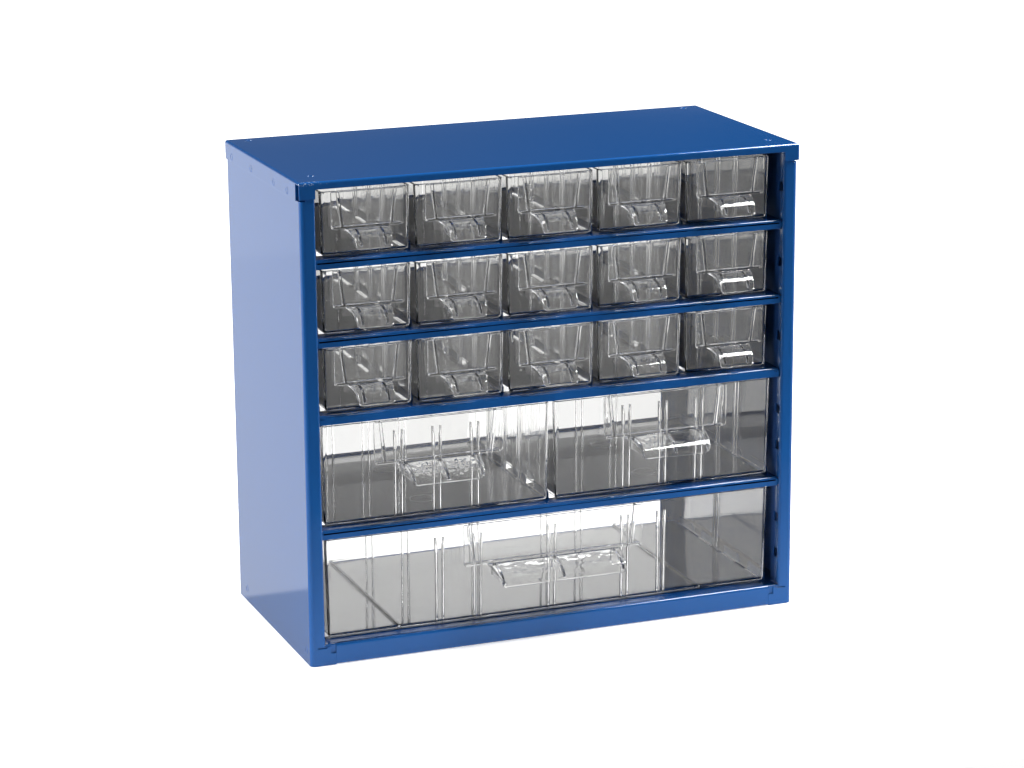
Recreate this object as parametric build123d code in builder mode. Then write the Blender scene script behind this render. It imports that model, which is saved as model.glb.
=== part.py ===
from build123d import *
import math
import os

# Parts bin cabinet: a frame of folded, painted sheet steel that holds eighteen clear
# drawers, five abreast in three rows, then two abreast, then one across the bottom.
# Millimetres. X runs to the right, Y to the back and Z up. The origin lies on the
# surface that the cabinet stands on, under the middle of its whole outline.

# ---- cabinet frame
cabinet_width = 306.0
cabinet_height = 282.0
body_depth = 146.0
sheet = 0.8
tight_fold = 1.2
wide_fold = 2.6
fit_gap = 0.4
relief = 0.9

# ---- side panels
front_flange = 8.9
post_depth = 10.4
back_flange = 23.6
base_tab_reach = 16.0
base_tab_height = 11.2
base_slot_length = 4.5
base_notch = 3.2
base_lap = 3.0
base_lap_drop = 7.0
hook_slot = 5.4
hook_slot_drop = 3.0
hook_slot_start = 2.6

# ---- top cover
cover_fold = 1.5
cover_side_drop = 11.0
cover_tab_drop = 9.8
cover_lip_drop = 4.4
cover_corner_gap = 6.2
cover_ear_drop = 14.0
cover_back_drop = 8.0

# ---- rows, counted from the floor: height in modules and number of drawers
floor_top = 12.4
module = 22.45
rows = [(3, 1), (3, 2), (2, 5), (2, 5), (2, 5)]
base_hem = 9.0

# ---- shelves
shelf_recess = 3.4
shelf_lip = 5.4
stop_height = 2.6
hook_reach = 3.0
hook_height = 3.6
guide_height = 5.0
guide_length = 21.0
guide_count = 4
guide_edge = 0.8
outer_guide_inset = {1: 0.8, 2: 0.0, 5: 2.5}
window_sides = {1: [1, -1], 2: [1, 1, -1], 5: [1, -1, 1, -1, 1, -1]}

# ---- drawers
wall = 1.4
draft = 1.3
drawer_recess = 9.0
running_gap = 0.3
head_room = 2.2
side_play = 0.8
stop_play = 1.0
corner_radius = 3.0
bottom_radius = 2.6

# ---- label plate and pull of a drawer
plate_stand = 3.0
plate_wall = 1.2
cheek_wall = 1.1
cheek_inset_top = 3.8
cheek_inset_low = 6.4
pull_wall = 1.5
pull_drop = 10.0
web_wall = 1.2
web_lift = 1.0
web_arc = 80.0

# ---- ribs that hold dividers
rib_wall = 1.0
rib_gap = 3.0
rib_proud = 2.2
rib_start = 7.0
rib_point = 6.0
rib_tip = 0.2
side_rib_start = 1.6
side_rib_proud = 1.3
side_rib_depths = [44.0, 69.0, 94.0]
floor_rib_width = 1.6
floor_rib_height = 1.0

# Each size of drawer, by the number of drawers in its row.
drawer_kinds = {
    1: dict(
        plate_width=113.0, plate_drop=25.2, plate_round=1.6, pull_reach=17.0, root_width=83.5,
        lip_width=78.5, lip_round=3.4, webs=[-37.5, 0.0, 37.5],
        ribs=[-70.0, -46.6, 0.0, 46.6, 70.0], side_ribs=side_rib_depths[1:2], floor_ribs=[-95.0, 95.0],
    ),
    2: dict(
        plate_width=78.6, plate_drop=25.2, plate_round=2.4, pull_reach=17.0, root_width=49.4,
        lip_width=44.4, lip_round=4.2, webs=[-20.6, 0.0, 20.6],
        ribs=[-23.3, 0.0, 23.3], side_ribs=side_rib_depths, floor_ribs=[],
    ),
    5: dict(
        plate_width=42.6, plate_drop=21.3, plate_round=1.4, pull_reach=12.0, root_width=26.0,
        lip_width=21.0, lip_round=1.8, webs=[-7.3, 7.3],
        ribs=[], side_ribs=side_rib_depths, floor_ribs=[],
    ),
}

# ---- sizes worked out from the ones above
deepest_pull = max(kind["pull_reach"] for kind in drawer_kinds.values())
pull_proud = deepest_pull + plate_stand - drawer_recess
front_y = (pull_proud - body_depth) / 2
back_y = front_y + body_depth
middle_y = (front_y + back_y) / 2
side_face = cabinet_width / 2 - sheet
side_inner = side_face - sheet
post_x = side_face - front_flange
flange_front = front_y + sheet
flange_back = flange_front + sheet
rear_flange_x = side_face - back_flange
rear_flange_back = back_y - sheet
rear_flange_front = rear_flange_back - sheet
panel_top = cabinet_height - cover_fold
levels = [floor_top + module * sum(row[0] for row in rows[:i]) for i in range(len(rows))]
module_total = sum(row[0] for row in rows)

shelf_half = post_x - fit_gap
shelf_front = front_y + shelf_recess
guide_half = shelf_half - guide_edge - sheet
drawer_front = front_y + drawer_recess
drawer_depth = rear_flange_front - stop_play - drawer_front
lean = math.tan(math.radians(draft))

os.makedirs("parts", exist_ok=True)


def box_between(x_range, y_range, z_range, mode=Mode.ADD):
    """A box given by its lowest and highest X, Y and Z."""
    centre = [(low + high) / 2 for low, high in (x_range, y_range, z_range)]
    size = [high - low for low, high in (x_range, y_range, z_range)]
    with Locations(tuple(centre)):
        Box(*size, mode=mode)


def guide_lines(count):
    """X of every guide line in a row of so many drawers, outer ones first and last."""
    half = guide_half - outer_guide_inset[count] + sheet / 2
    return [-half + 2 * half * i / count for i in range(count + 1)]


def drawer_centres(count):
    """X of the middle of every drawer in a row of so many."""
    lines = guide_lines(count)
    return [(lines[i] + lines[i + 1]) / 2 for i in range(count)]


def drawer_width(count):
    """Width over the rim of a drawer, between its two guide lines."""
    lines = guide_lines(count)
    return lines[1] - lines[0] - sheet - 2 * side_play


def drawer_height(modules):
    """Height of a drawer that passes under the lip of the shelf above it."""
    return modules * module - shelf_lip - running_gap - head_room


def guide_starts():
    """Y of the front end of every tab along a guide line."""
    run = (rear_flange_front - drawer_front) / guide_count
    return [drawer_front + run * i + (run - guide_length) / 2 for i in range(guide_count)]


def guide_tabs(count, level):
    """The tabs beside each drawer, bent up out of the sheet along the guide lines."""
    with BuildPart() as made:
        for x in guide_lines(count):
            for start in guide_starts():
                with BuildSketch(Plane.YZ.offset(x)):
                    with BuildLine():
                        Polyline(
                            (start, level - sheet),
                            (start + guide_length, level - sheet),
                            (start + guide_length, level + guide_height),
                            (start + guide_height / 2, level + guide_height),
                            (start, level + guide_height / 2),
                            close=True,
                        )
                    make_face()
                extrude(amount=sheet / 2, both=True)
    return made.part


def guide_windows(count, level):
    """The openings that the tabs leave in the sheet, each on the side that its tab was bent from."""
    with BuildPart() as made:
        for x, side in zip(guide_lines(count), window_sides[count]):
            across = sorted([x + side * sheet / 2, x + side * guide_height])
            for start in guide_starts():
                box_between(across, (start, start + guide_length), (level - sheet, level))
    return made.part


# ---- side panels: wall, front post with its slotted return, and back flange in one folded sheet
wall_line = side_face - sheet / 2
post_line = post_x + sheet / 2
front_line = flange_front + sheet / 2
rear_line = rear_flange_back - sheet / 2

with BuildPart() as right_side_panel:
    with BuildSketch():
        with BuildLine():
            FilletPolyline(
                (post_line, front_line + post_depth),
                (post_line, front_line),
                (wall_line, front_line),
                (wall_line, rear_line),
                (rear_flange_x, rear_line),
                radius=[tight_fold, wide_fold, tight_fold],
            )
        trace(line_width=sheet)
    extrude(amount=panel_top)
    box_between(
        (post_x - sheet, post_x + tight_fold + sheet),
        (flange_back, flange_back + post_depth),
        (0, floor_top + relief),
        Mode.SUBTRACT,
    )
    box_between(
        (cabinet_width / 2 - base_tab_reach, post_x + tight_fold + sheet),
        (flange_front, flange_back),
        (0, base_tab_height),
    )
    box_between(
        (post_x - sheet, post_x + base_slot_length),
        (flange_front - sheet, flange_back),
        (base_tab_height - relief, base_tab_height),
        Mode.SUBTRACT,
    )
    box_between(
        (cabinet_width / 2 - base_tab_reach, cabinet_width / 2 - base_tab_reach + base_notch),
        (flange_front, flange_back),
        (base_tab_height - relief - base_notch, base_tab_height),
        Mode.SUBTRACT,
    )
    box_between(
        (side_face - wide_fold - sheet, side_face),
        (flange_front, front_y + cover_corner_gap + sheet + fit_gap),
        (cabinet_height - cover_side_drop, panel_top),
        Mode.SUBTRACT,
    )
    for step in range(1, module_total):
        slot_middle = floor_top + step * module - hook_slot_drop
        box_between(
            (post_x - sheet, post_x + 2 * sheet),
            (front_y + hook_slot_start, front_y + hook_slot_start + hook_slot),
            (slot_middle - hook_slot / 2, slot_middle + hook_slot / 2),
            Mode.SUBTRACT,
        )
right_side_panel.part.label = "right_side_panel"
export_step(right_side_panel.part, "parts/right_side_panel.step")

with BuildPart() as left_side_panel:
    mirror(right_side_panel.part, about=Plane.YZ)
left_side_panel.part.label = "left_side_panel"
export_step(left_side_panel.part, "parts/left_side_panel.step")

# ---- top cover: a cap over both side panels, with a short front lip, deeper corner tabs that end
# short of the side flanges, and an ear bent in from each flange behind that gap
with BuildPart() as top_cover:
    with BuildSketch(Plane.XY.offset(cabinet_height - cover_side_drop)):
        with Locations((0, middle_y)):
            Rectangle(cabinet_width, body_depth)
    extrude(amount=cover_side_drop)
    fillet(top_cover.edges().filter_by(Axis.Z), radius=cover_fold)
    fillet(top_cover.faces().sort_by(Axis.Z)[-1].edges(), radius=cover_fold)
    offset(amount=-sheet, openings=top_cover.faces().sort_by(Axis.Z)[0])
    box_between(
        (-post_x, post_x),
        (front_y - sheet, flange_back),
        (cabinet_height - cover_side_drop, cabinet_height - cover_lip_drop),
        Mode.SUBTRACT,
    )
    box_between(
        (-cabinet_width / 2, cabinet_width / 2),
        (front_y - sheet, flange_back),
        (cabinet_height - cover_side_drop, cabinet_height - cover_tab_drop),
        Mode.SUBTRACT,
    )
    box_between(
        (-cabinet_width / 2, cabinet_width / 2),
        (rear_flange_back - sheet, back_y + sheet),
        (cabinet_height - cover_side_drop, cabinet_height - cover_back_drop),
        Mode.SUBTRACT,
    )
    for side in (-1, 1):
        box_between(
            sorted([side * side_inner, side * (cabinet_width / 2 + sheet)]),
            (flange_front, front_y + cover_corner_gap),
            (cabinet_height - cover_side_drop, panel_top),
            Mode.SUBTRACT,
        )
        with BuildSketch(Plane.XZ.offset(-front_y - cover_corner_gap)):
            with BuildLine():
                Polyline(
                    (side * (side_face + sheet / 2), cabinet_height - cover_side_drop),
                    (side * (side_face + sheet / 2), panel_top),
                    (side * (post_x + sheet + fit_gap), panel_top),
                    (side * (post_x + sheet + fit_gap), cabinet_height - cover_ear_drop),
                    (side * (side_inner - fit_gap), cabinet_height - cover_ear_drop),
                    (side * (side_inner - fit_gap), cabinet_height - cover_side_drop),
                    close=True,
                )
            make_face()
        extrude(amount=-sheet)
top_cover.part.label = "top_cover"
export_step(top_cover.part, "parts/top_cover.step")

# ---- bottom panel: the floor under the lowest drawer, folded down to the ground at both ends
floor_line = floor_top - sheet / 2
base_half = cabinet_width / 2 - base_tab_reach
hem_line = sheet / 2

with BuildPart() as bottom_panel:
    with BuildSketch(Plane.YZ):
        with BuildLine():
            FilletPolyline(
                (front_line + base_hem, hem_line),
                (front_line, hem_line),
                (front_line, floor_line),
                (rear_line, floor_line),
                (rear_line, hem_line),
                (rear_line - base_hem, hem_line),
                radius=tight_fold,
            )
        trace(line_width=sheet)
    extrude(amount=rear_flange_x - fit_gap, both=True)
    for side in (-1, 1):
        with BuildSketch(Plane.YZ):
            with BuildLine():
                FilletPolyline(
                    (front_line + base_hem, hem_line),
                    (front_line, hem_line),
                    (front_line, floor_line),
                    (rear_flange_front - fit_gap, floor_line),
                    radius=tight_fold,
                )
            trace(line_width=sheet)
        extrude(amount=side * base_half)
        box_between(
            sorted([side * (base_half - sheet), side * (side_inner - fit_gap)]),
            (flange_back + post_depth + fit_gap, rear_flange_front - fit_gap),
            (floor_top - sheet, floor_top),
        )
        box_between(
            sorted([side * (base_half - sheet), side * (post_x - fit_gap)]),
            (flange_back + fit_gap, flange_back + post_depth + 2 * fit_gap),
            (floor_top - sheet, floor_top),
        )
        box_between(
            sorted([side * (base_half - base_lap), side * (post_x + base_slot_length + base_lap)]),
            (flange_back, flange_back + sheet),
            (base_tab_height - base_lap_drop, floor_top - sheet / 2),
        )
    add(guide_windows(rows[0][1], levels[0]), mode=Mode.SUBTRACT)
    add(guide_tabs(rows[0][1], levels[0]))
bottom_panel.part.label = "bottom_panel"
export_step(bottom_panel.part, "parts/bottom_panel.step")


def shelf(level, count):
    """A shelf with its front lip folded down and its back edge folded up as a drawer stop."""
    lip_line = shelf_front + sheet / 2
    stop_line = rear_flange_front - sheet / 2
    top_line = level - sheet / 2
    with BuildPart() as made:
        with BuildSketch(Plane.YZ):
            with BuildLine():
                FilletPolyline(
                    (lip_line, level - shelf_lip),
                    (lip_line, top_line),
                    (stop_line, top_line),
                    (stop_line, level + stop_height),
                    radius=[tight_fold, sheet],
                )
            trace(line_width=sheet)
        extrude(amount=shelf_half, both=True)
        for side in (-1, 1):
            box_between(
                sorted([side * (shelf_half - sheet), side * (shelf_half + hook_reach)]),
                (shelf_front, shelf_front + sheet),
                (level - hook_slot_drop - hook_height / 2, level - hook_slot_drop + hook_height / 2),
            )
        add(guide_windows(count, level), mode=Mode.SUBTRACT)
        add(guide_tabs(count, level))
    return made.part


# Shelves are numbered from the top down.
for number in range(1, len(rows)):
    row = len(rows) - number
    shelf_part = shelf(levels[row], rows[row][1])
    shelf_part.label = f"shelf_{number}"
    export_step(shelf_part, f"parts/shelf_{number}.step")


def pull(kind, plate_bottom):
    """The curved pull below a label plate: a quarter-round scoop with thin webs under it."""
    reach = kind["pull_reach"]
    root = kind["root_width"] / 2
    lip = kind["lip_width"] / 2
    lip_round = kind["lip_round"]
    lip_bottom = plate_bottom - pull_drop
    centre = (-plate_stand, lip_bottom)
    with BuildPart() as made:
        with BuildSketch(Plane.YZ):
            with BuildLine():
                scoop = EllipticalCenterArc(centre, reach, pull_drop, 90, arc_size=90)
                under = EllipticalCenterArc(
                    centre, reach - pull_wall, pull_drop - pull_wall, 90, arc_size=90
                )
                Line(scoop @ 1, under @ 1)
                Polyline(under @ 0, (wall, plate_bottom - pull_wall), (wall, plate_bottom), scoop @ 0)
            make_face()
        extrude(amount=root, both=True)
        with BuildSketch():
            with BuildLine():
                Polyline(
                    (-root, wall),
                    (-root, -plate_stand),
                    (-lip, -plate_stand - reach),
                    (lip, -plate_stand - reach),
                    (root, -plate_stand),
                    (root, wall),
                    close=True,
                )
            make_face()
        extrude(amount=plate_bottom, mode=Mode.INTERSECT)
        with BuildSketch(Plane.XZ.offset(-wall)):
            with BuildLine():
                FilletPolyline(
                    (root, plate_bottom),
                    (lip, lip_bottom + lip_round + web_lift),
                    (lip, lip_bottom),
                    (-lip, lip_bottom),
                    (-lip, lip_bottom + lip_round + web_lift),
                    (-root, plate_bottom),
                    radius=[0, lip_round, lip_round, 0],
                )
                Line((-root, plate_bottom), (root, plate_bottom))
            make_face()
        extrude(amount=wall + plate_stand + reach, mode=Mode.INTERSECT)
        for x in kind["webs"]:
            with BuildSketch(Plane.YZ.offset(x)):
                with BuildLine():
                    edge = EllipticalCenterArc(
                        centre, reach - web_lift, pull_drop - web_lift, 90, arc_size=web_arc
                    )
                    Polyline(
                        edge @ 1,
                        (-plate_stand, (edge @ 1).Y),
                        (wall, (edge @ 1).Y),
                        (wall, plate_bottom - web_lift),
                        edge @ 0,
                    )
                make_face()
            extrude(amount=web_wall / 2, both=True)
    return made.part


def end_ribs(kind, height):
    """Pairs of ribs up the inside of the front wall, whose tops flare apart to let a divider in."""
    low = wall / 2
    top = height - rib_start
    slot = rib_gap / 2
    with BuildPart() as made:
        for x in kind["ribs"]:
            for side in (-1, 1):
                with BuildSketch(Plane.YZ.offset(x + side * (rib_gap + rib_wall) / 2)):
                    with BuildLine():
                        Polyline(
                            (lean * (height - low) + wall / 2, low),
                            (lean * (height - low) + wall + rib_proud, low),
                            (lean * (height - top) + wall + rib_proud, top),
                            (lean * (height - top) + wall / 2, top),
                            close=True,
                        )
                    make_face()
                extrude(amount=rib_wall / 2, both=True)
            with BuildSketch(Plane.XZ):
                with BuildLine():
                    Polyline(
                        (x - slot, top - rib_point),
                        (x - slot - rib_wall + rib_tip, top),
                        (x + slot + rib_wall - rib_tip, top),
                        (x + slot, top - rib_point),
                        close=True,
                    )
                make_face()
            extrude(amount=-drawer_depth / 2, mode=Mode.SUBTRACT)
    return made.part


def wall_ribs(kind, width, height):
    """Pairs of ribs up the inside of the right-hand wall."""
    low = wall / 2
    top = height - side_rib_start
    shoulder = top - side_rib_proud
    with BuildPart() as made:
        for y in kind["side_ribs"]:
            for side in (-1, 1):
                with BuildSketch(Plane.XZ.offset(-y - side * (rib_gap + rib_wall) / 2)):
                    with BuildLine():
                        Polyline(
                            (width / 2 - lean * (height - low) - wall / 2, low),
                            (width / 2 - lean * (height - low) - wall - side_rib_proud, low),
                            (width / 2 - lean * (height - shoulder) - wall - side_rib_proud, shoulder),
                            (width / 2 - lean * (height - top) - wall / 2, top),
                            close=True,
                        )
                    make_face()
                extrude(amount=rib_wall / 2, both=True)
    return made.part


def tapered_tub(width, height, inset):
    """A solid tub shape that narrows downwards, set in by so much on its sides and base."""
    with BuildPart() as made:
        with BuildSketch(Plane.XY.offset(height)):
            with Locations((0, drawer_depth / 2)):
                RectangleRounded(width - 2 * inset, drawer_depth - 2 * inset, corner_radius - inset)
        extrude(amount=inset - height, taper=draft)
        fillet(made.faces().sort_by(Axis.Z)[0].edges(), radius=bottom_radius - inset)
    return made.part


def drawer(kind, width, height):
    """A clear moulded drawer, its front rim at the origin's Y and its underside at Z zero."""
    plate_half = kind["plate_width"] / 2
    plate_bottom = height - kind["plate_drop"]
    plate_round = kind["plate_round"]
    seat = lean * kind["plate_drop"] + wall / 2
    with BuildPart() as made:
        add(tapered_tub(width, height, 0))
        add(tapered_tub(width, height, wall), mode=Mode.SUBTRACT)
        with BuildSketch(Plane.XZ.offset(plate_stand)):
            with BuildLine():
                FilletPolyline(
                    (plate_half, height),
                    (plate_half, plate_bottom),
                    (-plate_half, plate_bottom),
                    (-plate_half, height),
                    radius=plate_round,
                )
                Line((-plate_half, height), (plate_half, height))
            make_face()
        extrude(amount=-plate_wall)
        box_between(
            (plate_round - plate_half, plate_half - plate_round),
            (-plate_stand, seat),
            (plate_bottom, plate_bottom + plate_wall),
        )
        for side in (-1, 1):
            cheek_top = side * (plate_half - cheek_inset_top)
            cheek_low = side * (plate_half - cheek_inset_low)
            with BuildSketch(Plane.XZ.offset(-seat)):
                with BuildLine():
                    Polyline(
                        (cheek_top, height),
                        (cheek_top - side * cheek_wall, height),
                        (cheek_low - side * cheek_wall, plate_bottom),
                        (cheek_low, plate_bottom),
                        close=True,
                    )
                make_face()
            extrude(amount=seat + plate_stand - plate_wall / 2)
        add(pull(kind, plate_bottom))
        if kind["ribs"]:
            front_ribs = end_ribs(kind, height)
            add(front_ribs)
            mirror(front_ribs, about=Plane.XZ.offset(-drawer_depth / 2))
        right_ribs = wall_ribs(kind, width, height)
        add(right_ribs)
        mirror(right_ribs, about=Plane.YZ)
        for x in kind["floor_ribs"]:
            box_between(
                (x - floor_rib_width / 2, x + floor_rib_width / 2),
                (lean * height + wall / 2, drawer_depth - lean * height - wall / 2),
                (wall / 2, wall + floor_rib_height),
            )
    return made.part


def place(shape, name, x, level):
    """Set a drawer on its shelf and write it as a piece of its own."""
    with BuildPart() as placed:
        with Locations((x, drawer_front, level + running_gap)):
            add(shape)
    placed.part.label = name
    export_step(placed.part, f"parts/{name}.step")


# ---- drawers, in rows from the floor up, numbered from the top row and from the left
medium_names = ["medium_drawer_left", "medium_drawer_right"]
masters = {
    count: drawer(drawer_kinds[count], drawer_width(count), drawer_height(modules))
    for modules, count in rows
}
for row, (modules, count) in enumerate(rows):
    for column, x in enumerate(drawer_centres(count)):
        names = {
            1: "large_drawer",
            2: medium_names[column % 2],
            5: f"small_drawer_{len(rows) - row}_{column + 1}",
        }
        place(masters[count], names[count], x, levels[row])
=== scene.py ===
import bmesh
import bpy
import math
from mathutils import Matrix, Vector


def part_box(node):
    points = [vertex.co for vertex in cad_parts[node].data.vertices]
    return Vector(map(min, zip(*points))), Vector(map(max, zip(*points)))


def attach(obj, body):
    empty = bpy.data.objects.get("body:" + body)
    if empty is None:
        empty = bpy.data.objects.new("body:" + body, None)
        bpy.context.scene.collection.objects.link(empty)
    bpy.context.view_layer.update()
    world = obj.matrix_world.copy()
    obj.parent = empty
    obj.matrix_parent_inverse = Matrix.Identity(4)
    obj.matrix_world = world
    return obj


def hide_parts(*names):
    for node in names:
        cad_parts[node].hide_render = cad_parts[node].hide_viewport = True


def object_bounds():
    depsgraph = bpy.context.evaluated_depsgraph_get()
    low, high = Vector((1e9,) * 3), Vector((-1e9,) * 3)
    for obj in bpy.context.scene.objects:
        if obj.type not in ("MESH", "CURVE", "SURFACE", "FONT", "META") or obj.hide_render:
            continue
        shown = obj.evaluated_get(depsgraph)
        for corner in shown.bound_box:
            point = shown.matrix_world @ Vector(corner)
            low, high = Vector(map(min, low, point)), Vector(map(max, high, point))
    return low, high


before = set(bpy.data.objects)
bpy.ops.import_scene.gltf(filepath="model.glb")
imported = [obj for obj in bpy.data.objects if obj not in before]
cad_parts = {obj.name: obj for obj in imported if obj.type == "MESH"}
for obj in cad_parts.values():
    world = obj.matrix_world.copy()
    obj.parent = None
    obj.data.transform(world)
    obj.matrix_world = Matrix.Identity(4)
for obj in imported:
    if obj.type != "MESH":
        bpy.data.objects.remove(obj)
cad_low, cad_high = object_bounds()

# ---- The view. The cabinet is seen from its front left and a little from above, with a long lens
# that stands 1.9 m away.
view_azimuth = math.radians(21.09)
view_elevation = math.radians(14.78)
view_roll = math.radians(-0.43)
view_place = Vector((-0.6449, -1.6664, 0.6076))
focal_pixels = 3093.8
image_width = 1024
sensor_width = 36.0
nearest_seen = 0.05

look = Vector((
    math.sin(view_azimuth) * math.cos(view_elevation),
    math.cos(view_azimuth) * math.cos(view_elevation),
    -math.sin(view_elevation),
))
level_right = look.cross(Vector((0, 0, 1))).normalized()
level_up = level_right.cross(look)
right = math.cos(view_roll) * level_right + math.sin(view_roll) * level_up
up = math.cos(view_roll) * level_up - math.sin(view_roll) * level_right

camera = bpy.data.objects.new("camera", bpy.data.cameras.new("camera"))
camera.data.sensor_width = sensor_width
camera.data.lens = focal_pixels * sensor_width / image_width
camera.data.clip_start = nearest_seen
camera.matrix_world = Matrix.Translation(view_place) @ Matrix((right, up, -look)).transposed().to_4x4()
bpy.context.scene.collection.objects.link(camera)
bpy.context.scene.camera = camera
bpy.context.scene.view_settings.view_transform = "Standard"

# Light passes many walls of clear plastic on its way through the drawers, and inside a wall it can
# be thrown back from side to side many times.
light_bounces = 48
bpy.context.scene.cycles.max_bounces = light_bounces
bpy.context.scene.cycles.transmission_bounces = light_bounces
bpy.context.scene.cycles.glossy_bounces = light_bounces


# ---- The studio. A white table under soft light, with a low white card close behind the cabinet and
# a tall one further back that is dark above its foot. The camera sees plain white all round, and the
# cards show only in reflections and through clear plastic.
def node(tree, kind, family="ShaderNode", **settings):
    """A new node of a tree, with its settings made."""
    made = tree.nodes.new(family + kind)
    for name, value in settings.items():
        setattr(made, name, value)
    return made


def new_tree(owner):
    """The emptied node tree of a material or a world, with its output node."""
    owner.use_nodes = True
    tree = owner.node_tree
    tree.nodes.clear()
    return tree, node(tree, "OutputWorld" if isinstance(owner, bpy.types.World) else "OutputMaterial")


def link(tree, source, target):
    """Join a socket that gives a value to one that takes it."""
    tree.links.new(source, target)


def fill(tree, socket, value):
    """Give a socket a plain value, or link another socket to it."""
    if isinstance(value, bpy.types.NodeSocket):
        link(tree, value, socket)
    else:
        socket.default_value = value


def maths(tree, operation, first, second=0.0):
    """One step of arithmetic on values or sockets."""
    step = node(tree, "Math", operation=operation)
    fill(tree, step.inputs[0], first)
    fill(tree, step.inputs[1], second)
    return step.outputs[0]


def product(tree, first, *others):
    """Several values or sockets multiplied, such as masks that must all hold."""
    for other in others:
        first = maths(tree, "MULTIPLY", first, other)
    return first


def ramp(tree, value, low, high, to_low=0.0, to_high=1.0, smooth=True):
    """A value carried from one range to another, clamped at both ends."""
    made = node(tree, "MapRange", interpolation_type="SMOOTHSTEP" if smooth else "LINEAR")
    for name, number in (("Value", value), ("From Min", low), ("From Max", high),
                         ("To Min", to_low), ("To Max", to_high)):
        fill(tree, made.inputs[name], number)
    return made.outputs["Result"]


def between(tree, share, first, second):
    """The first value where the share is 0, and the second where it is 1."""
    return ramp(tree, share, 0.0, 1.0, first, second, smooth=False)


def graded(tree, value, steps):
    """A value read from a list of places and levels, with straight lines between them."""
    first, last = steps[0][0], steps[-1][0]
    curve = node(tree, "ValToRGB")
    link(tree, ramp(tree, value, first, last, smooth=False), curve.inputs[0])
    stops = curve.color_ramp.elements
    while len(stops) < len(steps):
        stops.new(0.5)
    for stop, (place, level) in zip(stops, steps):
        stop.position = (place - first) / (last - first)
        stop.color = (level, level, level, 1)
    return curve.outputs["Color"]


def axes(tree, source="TexCoord", output="Object"):
    """X, Y and Z of the shaded point in metres, or of another vector."""
    parts = node(tree, "SeparateXYZ")
    link(tree, node(tree, source).outputs[output], parts.inputs[0])
    return parts.outputs


def glow(tree, strength):
    """Light that a surface gives off by itself."""
    shining = node(tree, "Emission")
    fill(tree, shining.inputs["Strength"], strength)
    return shining.outputs[0]


def flat_sheet(name, corners, material):
    """A flat sheet of the studio from its four corners, listed so that it faces the cabinet."""
    mesh = bpy.data.meshes.new(name)
    mesh.from_pydata(corners, [], [list(range(len(corners)))])
    mesh.materials.append(material)
    card = bpy.data.objects.new(name, mesh)
    bpy.context.scene.collection.objects.link(card)
    return card


def upright_card(name, left, right, place, top, material):
    """A card that stands on the table and shows only in reflections and through plastic."""
    corners = [(left, place, 0), (right, place, 0), (right, place, top), (left, place, top)]
    card = flat_sheet(name, corners, material)
    card.visible_camera = False
    card.visible_diffuse = False
    card.visible_shadow = False


table_left, table_right = -2.6, 2.6
table_front, table_back = -0.34, 3.4
table_height = -0.0002
table_white = (0.86, 0.86, 0.86, 1)
# What the camera sees of the table besides the light on it: Y and brightness. Near the cabinet it is
# less, so that the shadow stays, and through clear plastic it is less again.
table_glow = [(-0.2, 0.5), (0.25, 0.62), (0.8, 0.95)]
through_plastic = 0.35
# Light that the table throws back at the foot of the cabinet's front.
table_bounce = [(-0.22, 0.0), (-0.17, 0.95), (-0.06, 0.95), (0.0, 0.0)]
# What gloss paint mirrors in the table, from in front of the cabinet to behind it: Y and brightness.
mirrored_table = [(-0.52, 0.0), (-0.27, 0.16), (-0.09, 0.40), (-0.07, 0.385), (0.066, 0.385), (0.074, 0.75)]

table_material = bpy.data.materials.new("white_table")
tree, output = new_tree(table_material)
lit = node(tree, "BsdfDiffuse")
lit.inputs["Color"].default_value = table_white
path = node(tree, "LightPath")
depth = axes(tree)["Y"]
seen = maths(tree, "MULTIPLY", path.outputs["Is Transmission Ray"], through_plastic)
seen = maths(tree, "MAXIMUM", path.outputs["Is Camera Ray"], seen)
seen = maths(tree, "MULTIPLY", seen, graded(tree, depth, table_glow))
thrown = maths(tree, "MULTIPLY", path.outputs["Is Diffuse Ray"], graded(tree, depth, table_bounce))
plain = node(tree, "AddShader")
link(tree, lit.outputs[0], plain.inputs[0])
link(tree, glow(tree, maths(tree, "ADD", seen, thrown)), plain.inputs[1])
# A ray that went through plastic counts as glossy too, so it is taken off.
reflected = maths(tree, "SUBTRACT", path.outputs["Is Glossy Ray"], path.outputs["Is Transmission Ray"])
choice = node(tree, "MixShader")
link(tree, reflected, choice.inputs[0])
link(tree, plain.outputs[0], choice.inputs[1])
link(tree, glow(tree, graded(tree, depth, mirrored_table)), choice.inputs[2])
link(tree, choice.outputs[0], output.inputs["Surface"])
flat_sheet("table", [
    (table_left, table_front, table_height),
    (table_right, table_front, table_height),
    (table_right, table_back, table_height),
    (table_left, table_back, table_height),
], table_material)

tall_left, tall_right, tall_place, tall_top = -2.2, 2.2, 1.0, 1.6
# The tall card's brightness at each height, over a dark level that falls off to the right.
tall_heights = [(0.12, 0.75), (0.18, 0.45), (0.35, 0.35), (0.40, 0.12), (0.44, 0.05), (0.462, 0.0)]
dark_from, dark_to = 0.15, 0.7
dark_left_level, dark_right_level = 0.055, 0.0
# A patch that is brighter again, seen in the floors of the drawers towards the right.
patch_from, patch_full = 0.45, 0.58
patch_top_full, patch_top = 0.430, 0.445
patch_level = 0.25

tall_material = bpy.data.materials.new("backdrop_card")
tree, output = new_tree(tall_material)
place = axes(tree)
dark = ramp(tree, place["X"], dark_from, dark_to, dark_left_level, dark_right_level, smooth=False)
patch = product(
    tree,
    ramp(tree, place["X"], patch_from, patch_full, 0.0, patch_level),
    ramp(tree, place["Z"], patch_top_full, patch_top, 1.0, 0.0),
)
level = maths(tree, "ADD", graded(tree, place["Z"], tall_heights), dark)
link(tree, glow(tree, maths(tree, "ADD", level, patch)), output.inputs["Surface"])
upright_card("backdrop_card", tall_left, tall_right, tall_place, tall_top, tall_material)

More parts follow.
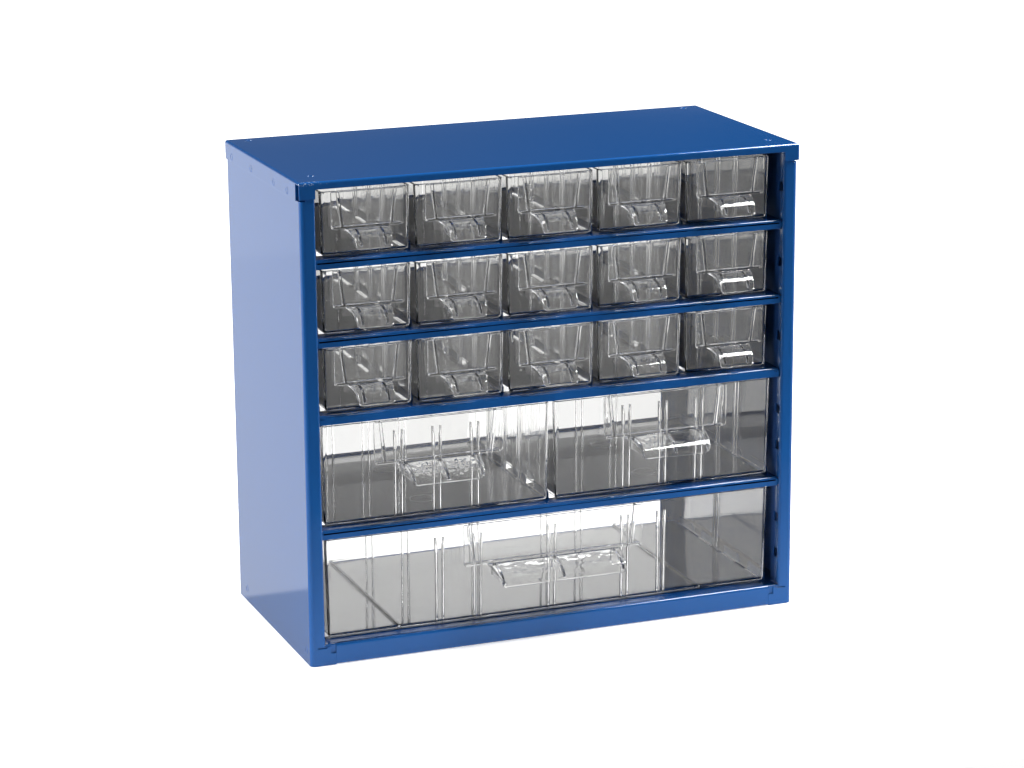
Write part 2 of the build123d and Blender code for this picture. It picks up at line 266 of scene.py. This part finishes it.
near_left, near_right, near_place, near_top = -0.06, 0.5, 0.3, 0.155
near_level = 1.05
near_material = bpy.data.materials.new("near_card")
tree, output = new_tree(near_material)
link(tree, glow(tree, near_level), output.inputs["Surface"])
upright_card("near_card", near_left, near_right, near_place, near_top, near_material)

# The room round the table is white to the camera and through plastic, and dim in reflections.
room_white = (1, 1, 1, 1)
room_seen, room_fill, room_gloss = 1.0, 0.2, 0.03
world = bpy.data.worlds.new("studio")
bpy.context.scene.world = world
tree, output = new_tree(world)
path = node(tree, "LightPath")
seen = maths(tree, "MAXIMUM", path.outputs["Is Camera Ray"], path.outputs["Is Transmission Ray"])
unseen = between(tree, path.outputs["Is Glossy Ray"], room_fill, room_gloss)
room = node(tree, "Background")
room.inputs["Color"].default_value = room_white
link(tree, between(tree, seen, unseen, room_seen), room.inputs["Strength"])
link(tree, room.outputs[0], output.inputs["Surface"])


def softbox(name, place, target, size, watts):
    """A square soft lamp that points from its place at a target."""
    lamp = bpy.data.objects.new(name, bpy.data.lights.new(name, "AREA"))
    lamp.data.size = size
    lamp.data.energy = watts
    lamp.location = place
    lamp.rotation_euler = (Vector(target) - Vector(place)).to_track_quat("-Z", "Y").to_euler()
    bpy.context.scene.collection.objects.link(lamp)


softbox("right_lamp", place=(0.96, -0.12, 1.25), target=(0.05, 0, 0.2), size=0.75, watts=52)
softbox("left_lamp", place=(-1.65, 0.4, 0.85), target=(0, 0, 0.1), size=1.0, watts=40)


# ---- The frame. Sheet steel folded cold, spot welded and sprayed with gloss blue enamel. The spray
# hardly reaches inside, where the paint is thin and dull, and its darker blue there is painted shade.
# The front edge of the top is chipped.
def node_group(name, kind, inputs, outputs):
    """An empty node group with its sockets, which are given as name and kind."""
    group = bpy.data.node_groups.new(name, kind)
    for side, sockets in (("INPUT", inputs), ("OUTPUT", outputs)):
        for label, sort in sockets:
            group.interface.new_socket(name=label, in_out=side, socket_type="NodeSocket" + sort)
    return group, group.nodes.new("NodeGroupInput"), group.nodes.new("NodeGroupOutput")


skin_detail = 1.0


def skin_layer(group, place, given, name, under=None):
    """The normal that one layer of unevenness gives, over the layer under it."""
    noise = node(group, "TexNoise")
    noise.inputs["Detail"].default_value = skin_detail
    link(group, place, noise.inputs["Vector"])
    link(group, given.outputs[name + " Scale"], noise.inputs["Scale"])
    bump = node(group, "Bump")
    link(group, given.outputs[name + " Height"], bump.inputs["Distance"])
    link(group, noise.outputs["Fac"], bump.inputs["Height"])
    if under:
        link(group, under, bump.inputs["Normal"])
    return bump.outputs["Normal"]


def skin_group():
    """A slightly uneven surface: long waves with a fine grain over them, as a normal."""
    group, given, result = node_group(
        "uneven_skin",
        "ShaderNodeTree",
        [("Wave Scale", "Float"), ("Wave Height", "Float"),
         ("Grain Scale", "Float"), ("Grain Height", "Float")],
        [("Normal", "Vector")],
    )
    place = node(group, "TexCoord").outputs["Object"]
    wave = skin_layer(group, place, given, "Wave")
    grain = skin_layer(group, place, given, "Grain", under=wave)
    link(group, grain, result.inputs["Normal"])
    return group


uneven_skin = skin_group()


def uneven(tree, skin):
    """The normal that the uneven skin gives with a material's own values."""
    placed = node(tree, "Group", node_tree=uneven_skin)
    for name, value in skin.items():
        placed.inputs[name].default_value = value
    return placed.outputs["Normal"]


enamel_blue = (0.008, 0.083, 0.29, 1)
# The darker blue inside the frame is painted shade.
enamel_shaded_inside = (0.005, 0.05, 0.2, 1)
enamel_chip = (0.20, 0.30, 0.50, 1)
# Each finish on the outside, on the inside, and on the inner sides of the walls, which are bare.
enamel_finishes = [("Roughness", 0.11, 0.2, 0.6), ("Coat Weight", 1.0, 0.3, 0.0)]
coat_roughness = 0.05
wall_facing = 0.7
enamel_skin = {"Wave Scale": 22.0, "Wave Height": 0.00004,
               "Grain Scale": 420.0, "Grain Height": 0.0000001}
# The inside of the frame. It begins behind the posts' faces and ends at the outer sheet.
inside_front, inside_full, inside_back = -0.0645, -0.060, 0.0772
inside_half = 0.15175
inside_top = 0.2811
# The chips are along the front left edge of the top: where, how fine, and from which noise level on.
chips_left, chips_right = -0.150, -0.095
chips_front, chips_back = -0.0660, -0.0640
chips_low = 0.2800
chip_scale, chip_detail = 1300, 3.0
chip_share, chip_full = 0.54, 0.60


def inside_mask(tree, place):
    """1 on the inside of the frame and 0 on the outside."""
    return product(
        tree,
        ramp(tree, place["Y"], inside_front, inside_full),
        maths(tree, "LESS_THAN", place["Y"], inside_back),
        maths(tree, "LESS_THAN", place["Z"], inside_top),
        maths(tree, "LESS_THAN", maths(tree, "ABSOLUTE", place["X"]), inside_half),
    )


def chip_mask(tree, place):
    """1 where the enamel is chipped."""
    specks = node(tree, "TexNoise")
    specks.inputs["Scale"].default_value = chip_scale
    specks.inputs["Detail"].default_value = chip_detail
    link(tree, node(tree, "TexCoord").outputs["Object"], specks.inputs["Vector"])
    worn = product(
        tree,
        ramp(tree, place["X"], chips_left, chips_right, 1.0, 0.0),
        ramp(tree, place["Y"], chips_front, chips_back, 1.0, 0.0),
        maths(tree, "GREATER_THAN", place["Z"], chips_low),
        specks.outputs["Fac"],
    )
    return ramp(tree, worn, chip_share, chip_full)


def blend(tree, share, first, second):
    """The first colour where the share is 0, and the second where it is 1."""
    mixed = node(tree, "Mix", data_type="RGBA")
    for name, value in (("Factor", share), ("A", first), ("B", second)):
        fill(tree, mixed.inputs[name], value)
    return mixed.outputs["Result"]


def enamel():
    """Gloss enamel on sheet steel, thin and dull inside the frame, where its blue is darker as painted
    shade.
    """
    material = bpy.data.materials.new("blue_enamel")
    tree, output = new_tree(material)
    shader = node(tree, "BsdfPrincipled")
    place = axes(tree)
    inside = inside_mask(tree, place)
    # Inside the frame the blue is darker: painted shade.
    paint = blend(tree, inside, enamel_blue, enamel_shaded_inside)
    link(tree, blend(tree, chip_mask(tree, place), paint, enamel_chip), shader.inputs["Base Color"])
    sideways = maths(tree, "ABSOLUTE", axes(tree, "NewGeometry", "True Normal")["X"])
    bare = product(tree, maths(tree, "GREATER_THAN", sideways, wall_facing), inside)
    for name, outer, inner, on_walls in enamel_finishes:
        painted = between(tree, inside, outer, inner)
        link(tree, between(tree, bare, painted, on_walls), shader.inputs[name])
    shader.inputs["Coat Roughness"].default_value = coat_roughness
    link(tree, uneven(tree, enamel_skin), shader.inputs["Normal"])
    link(tree, shader.outputs[0], output.inputs["Surface"])
    return material


same_point = 1e-6
shortest_edge = 2e-5
flat_angle = math.radians(0.5)
sharp_angle = math.radians(30)
ease_steps = 2
area_weight = 100


def merged_copy(name):
    """A closed mesh like the CAD node's, with the triangles of each flat face joined."""
    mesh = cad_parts[name].data.copy()
    # A second material slot, for eased edges that have a finish of their own; on the drawers it scatters
    # light as a painted highlight.
    mesh.materials.append(None)
    shape = bmesh.new()
    shape.from_mesh(mesh)
    bmesh.ops.remove_doubles(shape, verts=shape.verts, dist=same_point)
    bmesh.ops.dissolve_limit(shape, angle_limit=flat_angle, verts=shape.verts, edges=shape.edges)
    bmesh.ops.dissolve_degenerate(shape, dist=shortest_edge, edges=shape.edges)
    for face in shape.faces:
        face.smooth = True
    shape.to_mesh(mesh)
    shape.free()
    return mesh


def baked(made, name):
    """The plain mesh that an object's modifiers give. The object itself is dropped."""
    bpy.context.scene.collection.objects.link(made)
    mesh = bpy.data.meshes.new_from_object(made.evaluated_get(bpy.context.evaluated_depsgraph_get()))
    mesh.name = name
    bpy.data.objects.remove(made)
    return mesh


def eased(name, width, edge_slot=-1):
    """A copy of a CAD node's mesh whose sharp edges are eased by so much."""
    made = bpy.data.objects.new(name, merged_copy(name))
    bevel = made.modifiers.new("ease", "BEVEL")
    bevel.width = width
    bevel.segments = ease_steps
    bevel.material = edge_slot
    bevel.limit_method = "ANGLE"
    bevel.angle_limit = sharp_angle
    bevel.use_clamp_overlap = False
    flat = made.modifiers.new("flat", "WEIGHTED_NORMAL")
    flat.mode = "FACE_AREA"
    flat.weight = area_weight
    return baked(made, name)


def dress(name, mesh, materials, body, replaced=None):
    """A piece of the visual model that rides on a body and may stand in for a CAD node."""
    mesh.materials.clear()
    for material in materials:
        mesh.materials.append(material)
    piece = bpy.data.objects.new(name, mesh)
    bpy.context.scene.collection.objects.link(piece)
    if replaced:
        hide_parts(replaced)
    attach(piece, body)


sheet_ease = 0.00016
frame_nodes = ["left_side_panel", "right_side_panel", "top_cover", "bottom_panel"]
frame_nodes += [f"shelf_{number}" for number in range(1, 5)]
blue_enamel = enamel()
for name in frame_nodes:
    dress(f"{name}_painted", eased(name, sheet_ease), [blue_enamel], "cabinet", name)


# ---- The weld marks. A spot weld leaves a low ring in the sheet steel, on the top and on both
# sides, and the enamel goes over it.
facing_up = (0.0, 0.0, 1.0)
ring_steps, wire_steps = 32, 8
weld_ring = {"Radius": 0.0019, "Wire": 0.00035, "Squash": 0.35}
# How far the welds lie from the back edge of their sheet.
flange_welds = [0.014, 0.054, 0.098, 0.124]
foot_welds = [0.016, 0.136]
top_welds = [0.008, 0.1285]
flange_weld_drop = 0.008
foot_weld_height = 0.008
top_weld_inset = 0.0125


def ring_tree(name, material):
    """Geometry nodes that set a low ring on every point of a mesh, facing one way."""
    tree, given, result = node_group(
        name,
        "GeometryNodeTree",
        [("Geometry", "Geometry"), ("Radius", "Float"), ("Wire", "Float"), ("Squash", "Float"),
         ("Facing", "Vector")],
        [("Geometry", "Geometry")],
    )
    tube = node(tree, "CurveToMesh", "GeometryNode")
    for size, steps, curve in (("Radius", ring_steps, "Curve"), ("Wire", wire_steps, "Profile Curve")):
        circle = node(tree, "CurvePrimitiveCircle", "GeometryNode", mode="RADIUS")
        circle.inputs["Resolution"].default_value = steps
        link(tree, given.outputs[size], circle.inputs["Radius"])
        link(tree, circle.outputs[0], tube.inputs[curve])
    low = node(tree, "CombineXYZ")
    low.inputs["X"].default_value = 1.0
    low.inputs["Y"].default_value = 1.0
    link(tree, given.outputs["Squash"], low.inputs["Z"])
    flat = node(tree, "Transform", "GeometryNode")
    link(tree, tube.outputs[0], flat.inputs["Geometry"])
    link(tree, low.outputs[0], flat.inputs["Scale"])
    turn = node(tree, "AlignRotationToVector", "FunctionNode", axis="Z")
    link(tree, given.outputs["Facing"], turn.inputs["Vector"])
    spread = node(tree, "InstanceOnPoints", "GeometryNode")
    link(tree, given.outputs["Geometry"], spread.inputs["Points"])
    link(tree, flat.outputs[0], spread.inputs["Instance"])
    link(tree, turn.outputs[0], spread.inputs["Rotation"])
    real = node(tree, "RealizeInstances", "GeometryNode")
    link(tree, spread.outputs[0], real.inputs[0])
    smooth = node(tree, "SetShadeSmooth", "GeometryNode")
    link(tree, real.outputs[0], smooth.inputs[0])
    paint = node(tree, "SetMaterial", "GeometryNode")
    paint.inputs["Material"].default_value = material
    link(tree, smooth.outputs[0], paint.inputs[0])
    link(tree, paint.outputs[0], result.inputs[0])
    return tree


def rings(name, tree, points, ring, facing):
    """The mesh of rings of one size that a ring tree makes on a list of points."""
    mesh = bpy.data.meshes.new(name)
    mesh.from_pydata(points, [], [])
    made = bpy.data.objects.new(name, mesh)
    modifier = made.modifiers.new(name, "NODES")
    modifier.node_group = tree
    values = {**ring, "Facing": facing}
    for socket in tree.interface.items_tree:
        if socket.name in values:
            modifier[socket.identifier] = values[socket.name]
    return baked(made, name)


def joined(name, meshes):
    """Several meshes as one."""
    shape = bmesh.new()
    for part in meshes:
        shape.from_mesh(part)
    mesh = bpy.data.meshes.new(name)
    shape.to_mesh(mesh)
    shape.free()
    return mesh


cover_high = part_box("top_cover")[1]
wall_low, wall_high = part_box("left_side_panel")
flange_weld_height = cad_high[2] - flange_weld_drop
weld_tree = ring_tree("weld_marks", blue_enamel)
weld_meshes = []
for side in (-1.0, 1.0):
    points = [(side * cover_high[0], cover_high[1] - back, flange_weld_height) for back in flange_welds]
    points += [(side * -wall_low[0], wall_high[1] - back, foot_weld_height) for back in foot_welds]
    weld_meshes.append(rings("side_welds", weld_tree, points, weld_ring, (side, 0.0, 0.0)))
points = [(side * (cover_high[0] - top_weld_inset), cover_high[1] - back, cover_high[2])
          for side in (-1.0, 1.0) for back in top_welds]
weld_meshes.append(rings("top_welds", weld_tree, points, weld_ring, facing_up))
dress("weld_marks", joined("weld_marks", weld_meshes), [blue_enamel], "cabinet")


# ---- The drawers. Each is one moulding in clear polystyrene, with eased edges and slightly wavy
# walls, and lies loose in the frame. The drawers of one size come out of one mould.
polystyrene_tint = (0.985, 0.985, 0.98, 1)
polystyrene_ior = 1.57
polystyrene_skin = {"Wave Scale": 45.0, "Wave Height": 0.0000015,
                    "Grain Scale": 300.0, "Grain Height": 0.00000005}
wall_clearness, wall_roughness = 1.0, 0.0
# The eased edges are less clear and rougher, so they scatter light and come out bright: partly frosting,
# partly a painted highlight for the lines that rounded edges catch.
edge_clearness, edge_roughness = 0.4, 0.15
plastic_ease = 0.0004


def clear_polystyrene(name, clearness, roughness):
    """Clear moulded polystyrene, which scatters some light where it isn't fully clear: on the eased edges
    partly a slight frosting and partly a painted highlight.
    """
    material = bpy.data.materials.new(name)
    tree, output = new_tree(material)
    shader = node(tree, "BsdfPrincipled")
    shader.inputs["Base Color"].default_value = polystyrene_tint
    shader.inputs["Roughness"].default_value = roughness
    shader.inputs["IOR"].default_value = polystyrene_ior
    shader.inputs["Transmission Weight"].default_value = clearness
    link(tree, uneven(tree, polystyrene_skin), shader.inputs["Normal"])
    link(tree, shader.outputs[0], output.inputs["Surface"])
    return material


clear = clear_polystyrene("clear_polystyrene", wall_clearness, wall_roughness)
edge_highlight_polystyrene = clear_polystyrene("polystyrene_edge_highlight", edge_clearness, edge_roughness)
drawer_names = [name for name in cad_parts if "drawer" in name]
moulds = {}
for name in drawer_names:
    size = name.split("_")[0]
    corner = Vector(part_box(name)[0])
    if size not in moulds:
        moulds[size] = eased(name, plastic_ease, edge_slot=1), corner
    mould, mould_corner = moulds[size]
    moulding = mould.copy()
    moulding.transform(Matrix.Translation(corner - mould_corner))
    dress(f"{name}_moulding", moulding, [clear, edge_highlight_polystyrene], name, name)


# ---- The pin marks. The mould's pins pushed the medium drawers out by their floors, and left two
# round marks in the plastic of each.
pin_ring = {"Radius": 0.007, "Wire": 0.0003, "Squash": 0.3}
pin_places = (-0.029, 0.036)
drawer_floor = 0.0014
# The pin marks take the edges' scattering finish, so they show the same painted highlight.
pin_tree = ring_tree("pin_marks", edge_highlight_polystyrene)
for name in ("medium_drawer_left", "medium_drawer_right"):
    low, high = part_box(name)
    points = [((low[0] + high[0]) / 2, place, low[2] + drawer_floor) for place in pin_places]
    marks = rings(f"{name}_pin_marks", pin_tree, points, pin_ring, facing_up)
    dress(f"{name}_pin_marks", marks, [edge_highlight_polystyrene], name)
